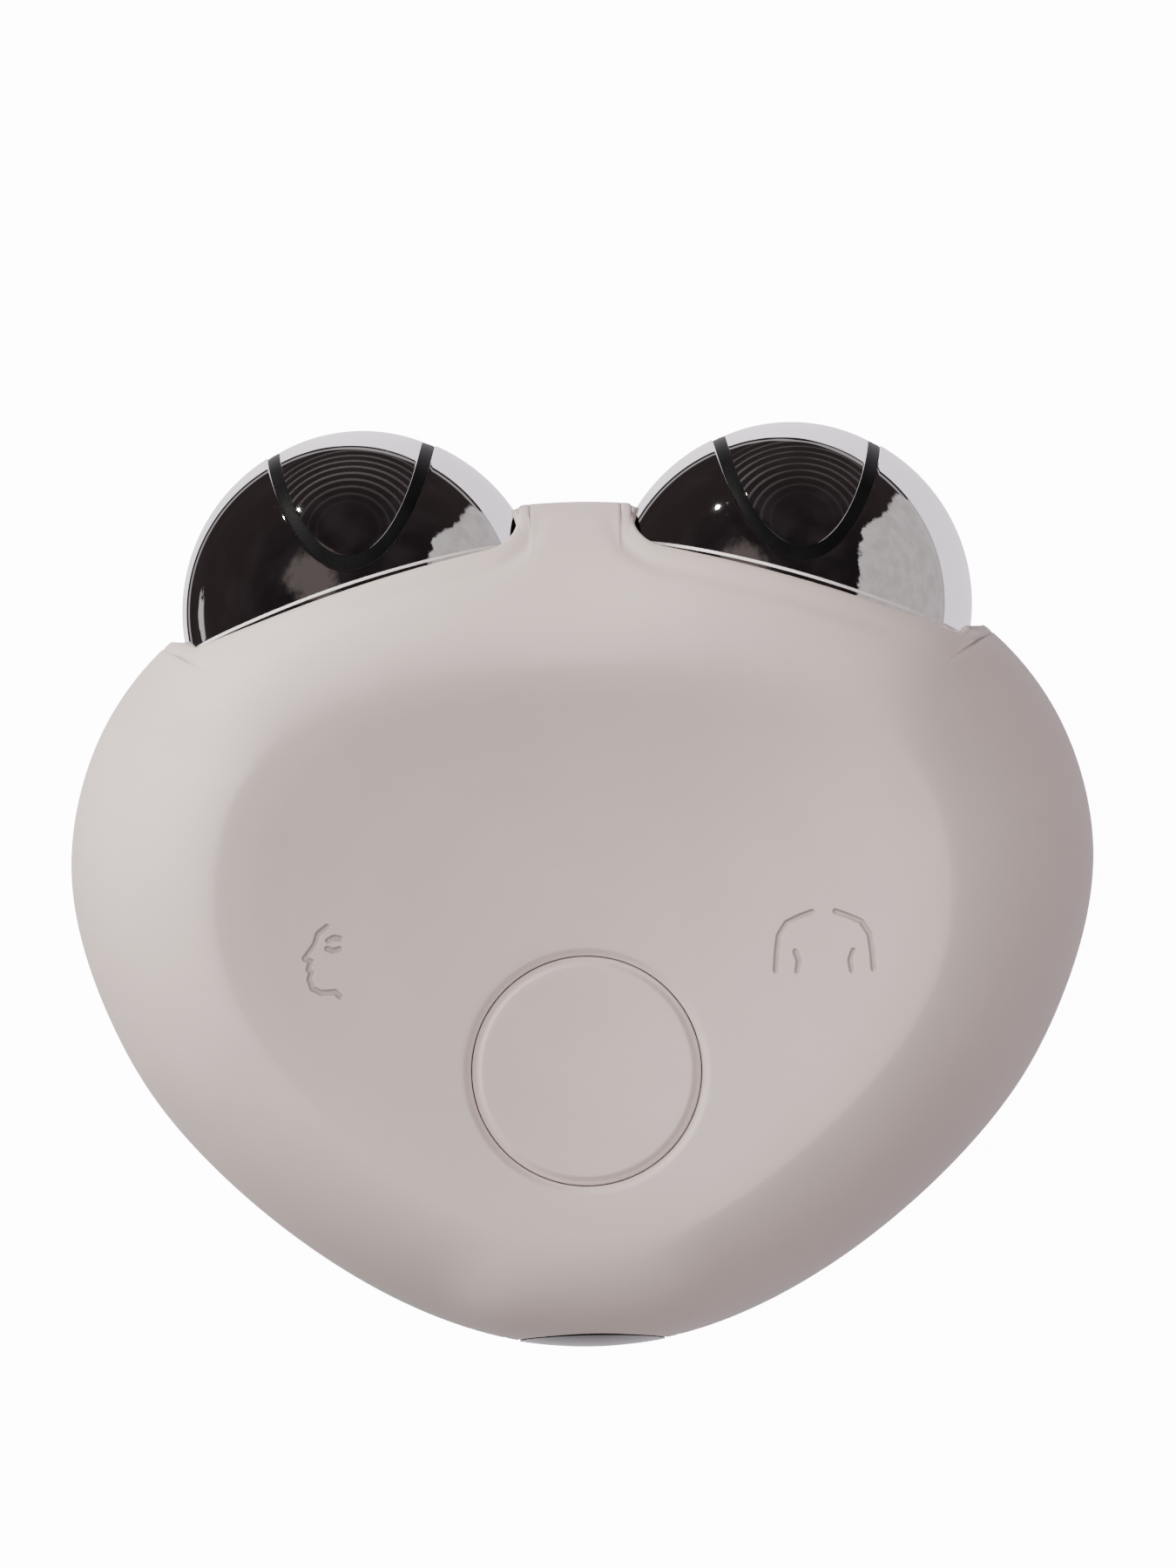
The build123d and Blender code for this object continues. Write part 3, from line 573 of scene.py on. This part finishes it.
class Shade:
    # one material, or the world, and its nodes
    def __init__(self, name, world=None):
        self.material = world or bpy.data.materials.new(name)
        self.material.use_nodes = True
        self.tree = self.material.node_tree
        self.surface = self.tree.nodes["Background" if world else "Principled BSDF"]

    def feed(self, socket, value):
        # a link where the value comes from a socket, else the number or colour itself
        source = value.source if isinstance(value, Value) else value
        if isinstance(source, bpy.types.NodeSocket):
            self.tree.links.new(source, socket)
        else:
            socket.default_value = source

    def node(self, kind, settings, inputs, output=0):
        # any node: its settings first, then a number or a link for each socket
        made = self.tree.nodes.new(kind)
        for key, value in settings.items():
            setattr(made, key, value)
        for key, value in inputs.items():
            self.feed(made.inputs[key], value)
        return Value(self, made.outputs[output])

    def place(self):
        # place on the piece, in metres of the frame
        return self.node("ShaderNodeTexCoord", {}, {}, "Object")

    def axes(self):
        # x, y and z in millimetres of the drawing
        parts = self.node("ShaderNodeSeparateXYZ", {}, {0: self.place()}).source.node.outputs
        return (Value(self, parts[0]) * 1000, Value(self, parts[1]) * 1000 - shiftY,
                Value(self, parts[2]) * 1000)

    def noise(self, scale, detail=3.0, roughness=0.5, at=None):
        # cloudy noise about 0.5
        return self.node("ShaderNodeTexNoise", {}, {"Vector": at or self.place(), "Scale": scale,
                         "Detail": detail, "Roughness": roughness}, "Fac")

    def mix(self, way, a, b):
        # colour a at 0, colour b at 1; sockets 6, 7 and 2 are the Mix node's colours
        return self.node("ShaderNodeMix", {"data_type": "RGBA"}, {0: way, 6: a, 7: b}, 2)

    def bump(self, height, distance, strength=1.0, under=None):
        # normal tilted by the slope of a height, over an earlier normal
        inputs = {"Height": height, "Distance": distance, "Strength": strength}
        if under:
            inputs["Normal"] = under
        return self.node("ShaderNodeBump", {}, inputs)

    def set(self, **inputs):
        # numbers straight on the shader's sockets, values by links
        for key, value in inputs.items():
            self.feed(self.surface.inputs[key.replace("_", " ")], value)
        return self.material


def colour(r, g, b):
    # red, green and blue with full cover
    return (r, g, b, 1.0)


def segmentsNear(shade, x, y, points):
    # distance in millimetres to the nearest of the short strokes between the points
    nearest = None
    for (ax, ay), (bx, by) in zip(points[:-1], points[1:]):
        dx, dy = bx - ax, by - ay
        way = (((x - ax) * dx + (y - ay) * dy) / (dx * dx + dy * dy)).clamp()
        px, py = x - ax - way * dx, y - ay - way * dy
        away = (px * px + py * py).math("SQRT")
        nearest = away if nearest is None else nearest.math("MINIMUM", away)
    return nearest


# engraved mode marks: middle of each, half width of the line, and strokes from that middle
marks = dict(
    face=(-22.4, -8.9), body=(20.7, -8.0), line=0.17, low=27.5, high=28.5,
    faceStrokes=[
        [(0.3, 3.2), (-0.45, 2.6), (-0.75, 1.7), (-1.65, 0.5), (-1.1, 0.2), (-1.35, -0.45), (-1.1, -0.8),
         (-1.3, -1.3), (-1.05, -2.1), (-0.3, -2.5), (0.9, -2.45), (1.3, -2.85)],
        [(0.4, 2.0), (0.9, 2.25), (1.4, 2.15)],
        [(0.3, 1.3), (0.8, 1.1), (1.35, 1.25)]],
    bodyStrokes=[
        [(-1.0, 2.7), (-2.0, 2.35), (-3.2, 1.8), (-3.9, 0.7), (-4.1, -0.8), (-4.2, -2.3)],
        [(1.0, 2.7), (2.0, 2.35), (3.2, 1.8), (3.9, 0.7), (4.1, -0.8), (4.2, -2.3)],
        [(-2.5, -0.7), (-2.2, -1.5), (-2.35, -2.4)],
        [(2.5, -0.7), (2.2, -1.5), (2.35, -2.4)]],
)


def softTouch():
    # matte lacquer: fine grain, faint mottling, two engraved mode marks whose grooves are darkened with painted
    # shade
    look = dict(base=colour(0.60, 0.495, 0.46), dark=colour(0.565, 0.462, 0.428), rough=0.52,
                paintedGrooveShade=colour(0.26, 0.215, 0.195), grainHigh=0.00003, engravedDeep=0.00022)
    shade = Shade("softTouch")
    x, y, z = shade.axes()
    mottle = shade.noise(60.0, 4.0, 0.6).smooth(0.35, 0.65)
    grain = shade.noise(5200.0, 2.0, 0.5)
    nearest = None
    for mark in ("face", "body"):
        cx, cy = marks[mark]
        for points in marks[mark + "Strokes"]:
            away = segmentsNear(shade, x - cx, y - cy, points)
            nearest = away if nearest is None else nearest.math("MINIMUM", away)
    groove = 1 - nearest.smooth(marks["line"] * 0.4, marks["line"] * 1.9)
    groove = groove * z.smooth(marks["low"], marks["high"])
    base = shade.mix(mottle * 0.6, look["base"], look["dark"])
    # painted shade: the engraved strokes' grooves mixed towards a dark colour
    base = shade.mix(groove * 0.55, base, look["paintedGrooveShade"])
    surface = shade.bump(grain, look["grainHigh"], 0.35)
    surface = shade.bump(1 - groove, look["engravedDeep"], 1.0, surface)
    return shade.set(Base_Color=base, Roughness=look["rough"] + (grain - 0.5) * 0.1, Normal=surface,
                     Specular_IOR_Level=0.42)


def mirrorChrome(name, rings):
    # polished plating: wipe marks and dust in the roughness; on the tongue faint turning marks, a sine
    # of the distance from a place in front of it; along the lip a painted pale line, the painted reflection of
    # the housing's lip
    shade = Shade(name)
    x, y, z = shade.axes()
    wipe = shade.noise(90.0, 5.0, 0.62).smooth(0.45, 0.75)
    dust = shade.noise(1500.0, 2.0, 0.5).smooth(0.62, 0.72)
    base = shade.mix(wipe * 0.25, colour(0.83, 0.83, 0.84), colour(0.78, 0.775, 0.785))
    across = x.math("ABSOLUTE") - ball["x"] - ball["tongueOut"]
    beyond = y - ball["y"] - ball["ringOut"]
    rise = z - ball["z"] - ball["ringUp"]
    reach = (across * across + beyond * beyond + rise * rise).math("SQRT")
    wave = (reach * (tau / ball["ringStep"])).math("SINE") * shade.noise(140.0, 2.0, 0.5)
    wave = wave * (1 - reach.smooth(*ball["ringTo"]))
    arcs = wave.smooth(0.1, 0.5) * reach.smooth(*ball["ringFrom"]) * rings
    qx, qy, qz = x.math("ABSOLUTE") - ball["x"], y - ball["y"], z - ball["z"]
    side = qx * float(ballAcross[0]) + qy * float(ballAcross[1])
    inner = (side - ball["mouthTop"]).math("MINIMUM", 0.0)
    outwards = qx * float(ballOut[0]) + qy * float(ballOut[1]) + qz * float(ballOut[2])
    beyondLip = outwards - ball["mouth"] + inner * inner * ball["mouthFall"]
    # painted reflection: a pale, rougher, less metallic band just beyond the lip stands in for the lip's
    # reflection
    line = beyondLip.smooth(*ball["lipReflectionFrom"]) * (1 - beyondLip.smooth(*ball["lipReflectionTo"])) \
        * z.smooth(*ball["lipReflectionUp"])
    # the pale pinkish colour here is the painted reflection of the housing's lip
    return shade.set(Base_Color=shade.mix(line, base, colour(0.82, 0.76, 0.75)),
                     Metallic=1.0 - line - arcs * 0.045,
                     Roughness=0.02 + wipe * 0.02 + dust * 0.04 + line * 0.35,
                     Normal=shade.bump(wave * rings, 0.0000012, 1.0))


def plain(name, base, other, rough, metallic=0.0, scale=300.0, coat=0.0, clear=None, specular=0.5):
    # two close colours mottled together, roughness a little uneven, fine surface grain
    shade = Shade(name)
    spots = shade.noise(scale, 4.0, 0.55)
    grain = shade.noise(scale * 14, 2.0, 0.5)
    mixed = shade.mix(spots.smooth(0.3, 0.7), base, other)
    normal = shade.bump(grain, 0.00002, 0.3)
    made = shade.set(Base_Color=mixed, Roughness=rough + (spots - 0.5) * 0.12, Metallic=metallic,
                     Coat_Weight=coat, Normal=normal, Specular_IOR_Level=specular)
    if clear:
        shade.set(Transmission_Weight=clear, IOR=1.5)
    return made


def boardMask():
    # solder mask with straight copper tracks showing paler under it
    shade = Shade("boardMask")
    x, tracksPerMillimetre = shade.axes()[0], 1.6
    lines = ((x * tracksPerMillimetre).math("FRACT") - 0.5).math("ABSOLUTE").smooth(0.3, 0.42)
    patch = shade.noise(140.0, 2.0, 0.5).smooth(0.5, 0.56)
    base = shade.mix(lines * patch, colour(0.02, 0.16, 0.07), colour(0.05, 0.27, 0.12))
    return shade.set(Base_Color=base, Roughness=0.3 + lines * 0.08, Coat_Weight=0.3)


slotLooks = {
    "seal": lambda: plain("sealRubber", colour(0.05, 0.045, 0.042), colour(0.08, 0.072, 0.068), 0.7),
    "black_plastic": lambda: plain("blackPlastic", colour(0.02, 0.02, 0.02), colour(0.04, 0.04, 0.04), 0.45),
    "circuit_board": boardMask,
    "flex_film": lambda: plain("flexFilm", colour(0.6, 0.3, 0.06), colour(0.5, 0.24, 0.05), 0.3, coat=0.3),
    "ferrite": lambda: plain("ferrite", colour(0.07, 0.07, 0.075), colour(0.1, 0.1, 0.11), 0.6),
    "aluminium_can": lambda: plain("aluminiumCan", colour(0.75, 0.75, 0.77), colour(0.68, 0.68, 0.7), 0.3, 1.0),
    "clear_plastic": lambda: plain("clearPlastic", colour(0.92, 0.94, 0.95), colour(0.88, 0.9, 0.92), 0.15,
                                   clear=0.6),
    "battery_wrap": lambda: plain("batteryWrap", colour(0.42, 0.45, 0.5), colour(0.36, 0.39, 0.44), 0.35, 0.4),
    "foam": lambda: plain("foam", colour(0.08, 0.08, 0.08), colour(0.14, 0.14, 0.14), 0.9, scale=900.0),
    "pale_plastic": lambda: plain("palePlastic", colour(0.78, 0.76, 0.72), colour(0.72, 0.7, 0.66), 0.5),
    "lead_cover": lambda: plain("leadCover", colour(0.42, 0.045, 0.035), colour(0.34, 0.03, 0.025), 0.5),
    "gloss_black": lambda: plain("glossBlack", colour(0.012, 0.010, 0.009), colour(0.02, 0.017, 0.016), 0.22,
                                 scale=120.0, specular=0.03),
    "contact_metal": lambda: plain("contactMetal", colour(0.83, 0.62, 0.26), colour(0.75, 0.55, 0.22),
                                   0.25, 1.0),
    "screw_steel": lambda: plain("screwSteel", colour(0.56, 0.56, 0.57), colour(0.48, 0.48, 0.49), 0.35, 1.0),
}


def dress(piece, material):
    # this material alone
    piece.data.materials.clear()
    piece.data.materials.append(material)


housingLook = softTouch()
chromeLook, tongueLook = mirrorChrome("shellChrome", 0.0), mirrorChrome("tongueChrome", 1.0)
insulatorLook = plain("insulatorBlack", colour(0.004, 0.004, 0.004), colour(0.007, 0.007, 0.007), 0.45,
                      specular=0.06)

front, rear, cap = frontCover(), rearCover(), buttonCap()
for piece, node, body, slot in ((front, "front_cover", "device", "housing"),
                                (rear, "rear_cover", "device", "housing"),
                                (cap, "button_cap", "button", "button")):
    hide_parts(node)
    dress(piece, housingLook)
    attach(piece, body)
    piece.visible_glossy = False    # the room alone shows in the balls
print("housing and button made")

for side in (1, -1):
    tongue, strip, shell = electrodeBall(side)
    for piece, look, slot in ((tongue, tongueLook, "ball_chrome"),
                              (strip, insulatorLook, "insulator_black"),
                              (shell, chromeLook, "ball_chrome")):
        dress(piece, look)
        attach(piece, "device")
print("electrode balls made")

looks = {}
for part in frame["record"]["subparts"]:
    slot = part["material_slot"]
    if slot in slotLooks and part["node"] in frame["nodes"]:
        if slot not in looks:
            looks[slot] = slotLooks[slot]()
        dress(frame["nodes"][part["node"]], looks[slot])
for node in ("left_ball_core", "right_ball_core"):
    dress(frame["nodes"][node], looks["pale_plastic"])
print("inside pieces dressed")


# power of each lamp, glow of the paper and strength of the room
lamps = dict(paper=13.0, room=1.0, key=3.0, wash=12.4, top=14.0, fill=2.2, side=0.2)


def areaLight(name, place, aim, size, power, tint, glossy=True):
    # a round soft lamp at a place, turned to its aim
    light = bpy.data.lights.new(name, "AREA")
    light.shape, light.size, light.energy, light.color = "DISK", size, power, tint
    lamp = bpy.data.objects.new(name, light)
    bpy.context.scene.collection.objects.link(lamp)
    lamp.location = place
    lamp.rotation_euler = (Vector(aim) - Vector(place)).to_track_quat("-Z", "Y").to_euler()
    lamp.visible_glossy = glossy
    return lamp


def around(azimuth, rise, far):
    # a place at an angle round the device and above the floor
    a, r = radians(azimuth), radians(rise)
    return (far * cos(a) * cos(r), far * sin(a) * cos(r), 0.02 + far * sin(r))


def floorPlane():
    # pale paper that glows evenly, so that it stays nearly free of shadows
    grid = np.array([[-0.7, -0.7, 0], [0.7, -0.7, 0], [0.7, 0.7, 0], [-0.7, 0.7, 0]])
    mesh = bpy.data.meshes.new("floor")
    mesh.from_pydata(grid.tolist(), [], [(0, 1, 2, 3)])
    floor = bpy.data.objects.new("floor", mesh)
    bpy.context.scene.collection.objects.link(floor)
    shade = Shade("palePaper")
    fibre = shade.noise(900.0, 3.0, 0.5)
    shade.set(Base_Color=shade.mix(fibre * 0.05, colour(0.7, 0.7, 0.7), colour(0.6, 0.6, 0.6)), Roughness=0.9,
              Specular_IOR_Level=0.1, Emission_Color=colour(1.0, 0.995, 1.0), Emission_Strength=lamps["paper"])
    dress(floor, shade.material)
    floor.visible_glossy = floor.visible_diffuse = False


# things that the balls show: between which values of the direction's x, y or z each sets in
seen = dict(
    wallEdge=0.64, wallTilt=0.24, wall=(0.0, 0.012), stripFrom=(-0.075, -0.065), stripTo=(-0.04, -0.03),
    windowX=(0.66, 0.69), windowY=(0.66, 0.69), windowZ=(-0.52, -0.49),
    chinkX=(0.77, 0.79), chinkY=(0.1, 0.14), chinkZ=(-0.62, -0.6), chinkTop=(-0.54, -0.5),
    smearX=-0.5, smearY=0.35, smear=(0.02, 0.09), smearZ=(0.5, 0.6),
)


def room():
    # dim room overhead; below the horizon a pale wall towards +Y and +X, seen only in the balls:
    # each thing in it is a product of soft steps over the direction's x, y and z
    world = bpy.data.worlds.new("room")
    bpy.context.scene.world = world
    shade = Shade("room", world)
    way = shade.node("ShaderNodeTexCoord", {}, {}, "Generated")
    parts = shade.node("ShaderNodeSeparateXYZ", {}, {0: way}).source.node.outputs
    x, y, z = (Value(shade, part) for part in parts)
    flat = (x * x + y * y).math("SQRT")
    toRight = x / (flat + 0.001)
    rough = shade.noise(9.0, 4.0, 0.6, way) - 0.5
    edge = 0 - z - (seen["wallEdge"] - toRight * seen["wallTilt"])
    wall = edge.smooth(*seen["wall"])
    strip = edge.smooth(*seen["stripFrom"]) * (1 - edge.smooth(*seen["stripTo"]))
    window = (x + rough * 0.16).smooth(*seen["windowX"]) * (z + rough * 0.1).smooth(*seen["windowZ"]) \
        * (1 - (y + rough * 0.1).smooth(*seen["windowY"]))
    chink = (0 - x).smooth(*seen["chinkX"]) * (z + rough * 0.2).smooth(*seen["chinkZ"]) \
        * (1 - z.smooth(*seen["chinkTop"])) \
        * (1 - (y.math("ABSOLUTE") + rough * 0.3).smooth(*seen["chinkY"]))
    sideX, sideY = x - seen["smearX"], y - seen["smearY"]
    aside = sideX * sideX + sideY * sideY
    smear = (1 - (aside + rough * 0.12).smooth(*seen["smear"])) * z.smooth(*seen["smearZ"])
    haze = shade.noise(2.2, 2.0, 0.5, way).smooth(0.4, 0.75)
    base = shade.mix((z + 0.3).smooth(0.0, 1.1), colour(0.030, 0.022, 0.022), colour(0.014, 0.011, 0.012))
    base = shade.mix(haze * 0.5, base, colour(0.045, 0.034, 0.038))
    base = shade.mix(smear * 0.6, base, colour(0.20, 0.165, 0.155))
    glass = shade.mix((rough + 0.5).smooth(0.3, 0.7), colour(0.60, 0.53, 0.53), colour(0.72, 0.66, 0.66))
    base = shade.mix(window * 0.9, base, glass)
    base = shade.mix(chink * 0.9, base, colour(0.7, 0.65, 0.66))
    base = shade.mix(strip * 0.55, base, colour(0.7, 0.65, 0.68))
    pale = shade.mix(toRight.smooth(-0.4, 0.9), colour(1.9, 1.76, 1.86), colour(1.5, 1.32, 1.52))
    shade.set(Color=shade.mix(wall, base, pale), Strength=lamps["room"])


floorPlane()
room()
low, middle = (0, 0, 0.02), (0, 0, 0)
areaLight("key", around(124, 8, 0.8), low, 0.03, lamps["key"], (1.0, 0.98, 0.95))
areaLight("wash", around(152, 14, 0.8), low, 0.4, lamps["wash"], (1.0, 0.985, 0.97), glossy=False)
areaLight("top", (-0.1, 0.15, 1.1), middle, 1.2, lamps["top"], (1.0, 0.985, 0.98), glossy=False)
areaLight("fill", around(228, 30, 0.8), middle, 0.8, lamps["fill"], (1.0, 0.98, 0.98), glossy=False)
areaLight("side", around(-32, 4, 0.8), low, 0.5, lamps["side"], (1.0, 0.99, 1.0), glossy=False)

# straight down on the dish: roll in degrees, place over the drawing, height of field at the level
view = dict(roll=1.2, x=0.5, y=6.13, field=138.0, far=733.0, level=17.0, sensor=36.0)
turn = radians(view["roll"])
right, up = Vector((cos(turn), -sin(turn), 0)), Vector((sin(turn), cos(turn), 0))
eye = right * view["x"] + up * view["y"] + Vector((0, shiftY, view["level"] + view["far"]))
camera = bpy.data.cameras.new("camera")
camera.sensor_fit, camera.sensor_height = "VERTICAL", view["sensor"]
camera.lens = view["sensor"] * view["far"] / view["field"]
camera.clip_start, camera.clip_end = 0.01, 10.0
eyeObject = bpy.data.objects.new("camera", camera)
bpy.context.scene.collection.objects.link(eyeObject)
facing = Matrix((right, up, Vector((0, 0, 1)))).transposed().to_4x4()
eyeObject.matrix_world = Matrix.Translation(eye / 1000) @ facing
bpy.context.scene.camera = eyeObject
print("floor, room, lights and camera made")
